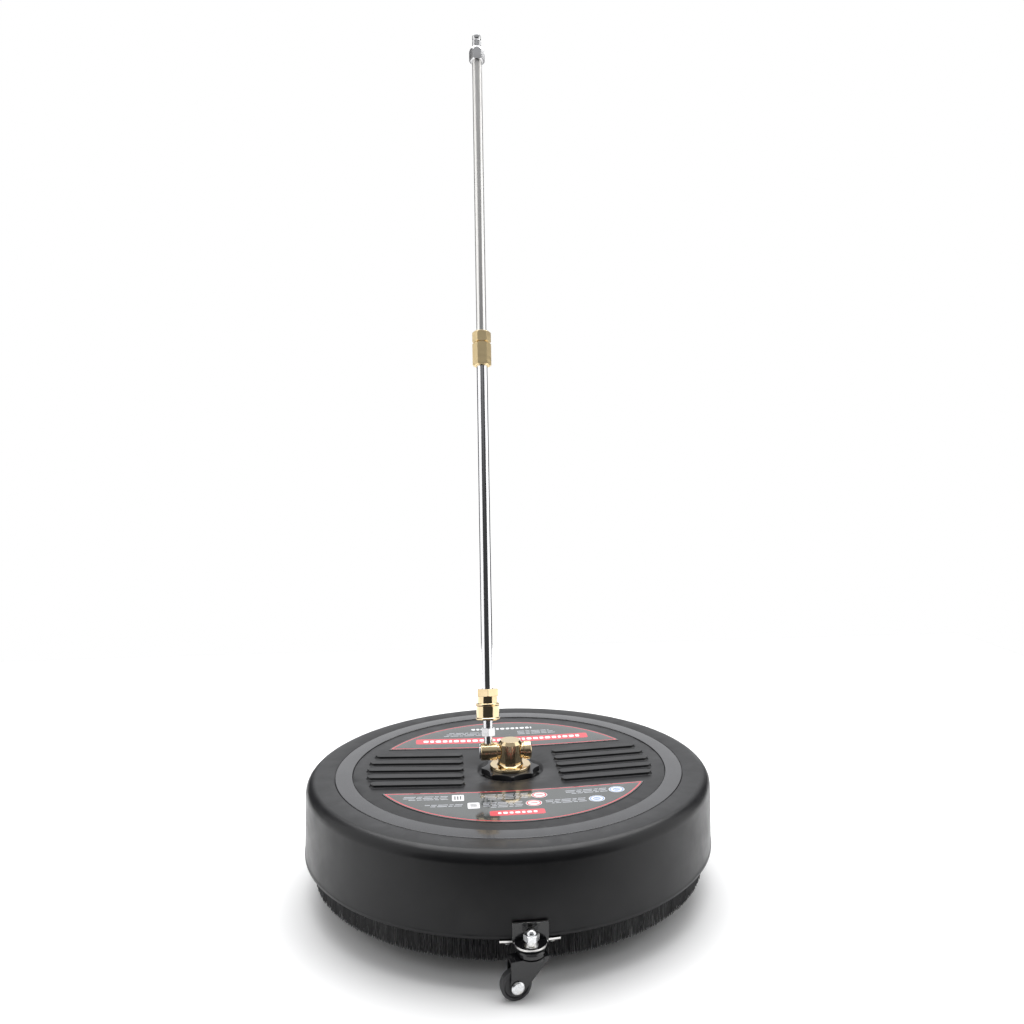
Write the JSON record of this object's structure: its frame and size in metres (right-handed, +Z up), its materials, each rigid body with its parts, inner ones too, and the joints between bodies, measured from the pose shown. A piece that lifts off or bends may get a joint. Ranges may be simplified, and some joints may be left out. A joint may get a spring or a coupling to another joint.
{
  "type": "flat surface cleaner",
  "caption": "Round pressure-washer surface cleaner: black shroud with a bristle skirt on swivel casters, spinning spray bar, and a tilting lance with a quick-connect plug.",
  "frame": {"origin": "under the middle of the footprint, at the height of the floor on which the casters stand; the spray bar's spin axis is 10.2 mm behind it, towards +Y", "axes": "+Z up along the spin axis; -Y towards the front caster, +Y towards the operator, to whom the lance leans; X along the lance's tilt axis, with the lance on the -X side"},
  "size_m": [0.402, 0.4223, 0.8874],
  "materials": {
    "black_plastic": "satin",
    "grey_plastic": "satin",
    "label_film": "gloss",
    "bristle": "matte",
    "brass": "polished",
    "polished_steel": "polished",
    "satin_steel": "satin",
    "zinc_steel": "satin",
    "black_steel": "satin",
    "black_rubber": "matte",
    "wheel_plastic": "satin"
  },
  "bodies": {
    "base": {"shroud": "black_plastic", "trim_ring": "grey_plastic", "label_front": "label_film", "label_rear": "label_film", "brush_carrier": "black_plastic", "brush_skirt": "bristle", "brush_screws": "zinc_steel", "deck_gasket": "black_rubber", "lock_knob": "black_plastic", "deck_washer": "zinc_steel", "clamp_nut": "zinc_steel", "swivel_body": "brass", "pivot_spindle": "satin_steel", "pivot_cap": "brass", "upper_bearing": "polished_steel", "lower_bearing": "polished_steel", "shaft_seal": "black_rubber", "bearing_circlip": "zinc_steel", "bracket_screws": "zinc_steel", "stem_washers": "zinc_steel", "stem_nuts": "zinc_steel", "bracket_front": "black_steel", "bracket_right": "black_steel", "bracket_left": "black_steel", "caster_stem_front": "black_steel", "caster_stem_right": "black_steel", "caster_stem_left": "black_steel"},
    "elbow": {"inlet_elbow": "brass", "elbow_plug": "satin_steel"},
    "lance": {"coupler_body": "brass", "coupler_seal": "black_rubber", "lock_balls": "polished_steel", "sleeve_spring": "zinc_steel", "lower_tube": "polished_steel", "joint_socket": "brass", "joint_nut": "brass", "upper_tube": "satin_steel", "top_collar": "satin_steel", "top_plug": "satin_steel"},
    "sleeve": {"coupler_sleeve": "brass"},
    "rotor": {"rotor_shaft": "satin_steel", "rotor_hub": "brass", "hub_nut": "zinc_steel", "spray_arm_a": "satin_steel", "spray_arm_b": "satin_steel", "arm_nuts": "zinc_steel", "nozzle_a": "brass", "nozzle_b": "brass"},
    "fork_front": {"caster_fork_front": "black_steel", "caster_axle_front": "zinc_steel"},
    "wheel_front": {"caster_wheel_front": "wheel_plastic"},
    "fork_right": {"caster_fork_right": "black_steel", "caster_axle_right": "zinc_steel"},
    "wheel_right": {"caster_wheel_right": "wheel_plastic"},
    "fork_left": {"caster_fork_left": "black_steel", "caster_axle_left": "zinc_steel"},
    "wheel_left": {"caster_wheel_left": "wheel_plastic"}
  },
  "joints": [
    {"name": "lance_tilt", "type": "hinge", "parent": "base", "child": "elbow", "pos_m": [0, 0.0102, 0.125], "axis": [1, 0, 0], "range_deg": [-68, 92]},
    {"name": "lance_turn", "type": "hinge", "parent": "elbow", "child": "lance", "pos_m": [-0.0218, 0.01789, 0.16119], "axis": [0, 0.2079, 0.9781], "continuous": true},
    {"name": "sleeve_pull", "type": "slide", "parent": "lance", "child": "sleeve", "axis": [0, 0.2079, 0.9781], "range_m": [0, 0.0045], "stiffness_N_per_m": 800, "springref_m": -0.004},
    {"name": "rotor_spin", "type": "hinge", "parent": "base", "child": "rotor", "pos_m": [0, 0.0102, 0.067], "axis": [0, 0, 1], "continuous": true},
    {"name": "caster_swivel_front", "type": "hinge", "parent": "base", "child": "fork_front", "pos_m": [0, -0.1998, 0.033], "axis": [0, 0, 1], "continuous": true},
    {"name": "wheel_spin_front", "type": "hinge", "parent": "fork_front", "child": "wheel_front", "pos_m": [-0.01276, -0.20228, 0.0125], "axis": [-0.1908, 0.9816, 0], "continuous": true},
    {"name": "caster_swivel_right", "type": "hinge", "parent": "base", "child": "fork_right", "pos_m": [0.18186, 0.1152, 0.033], "axis": [0, 0, 1], "continuous": true},
    {"name": "wheel_spin_right", "type": "hinge", "parent": "fork_right", "child": "wheel_right", "pos_m": [0.19039, 0.10539, 0.0125], "axis": [-0.7547, -0.6561, 0], "continuous": true},
    {"name": "caster_swivel_left", "type": "hinge", "parent": "base", "child": "fork_left", "pos_m": [-0.18186, 0.1152, 0.033], "axis": [0, 0, 1], "continuous": true},
    {"name": "wheel_spin_left", "type": "hinge", "parent": "fork_left", "child": "wheel_left", "pos_m": [-0.17763, 0.12749, 0.0125], "axis": [0.9455, -0.3256, 0], "continuous": true}
  ]
}
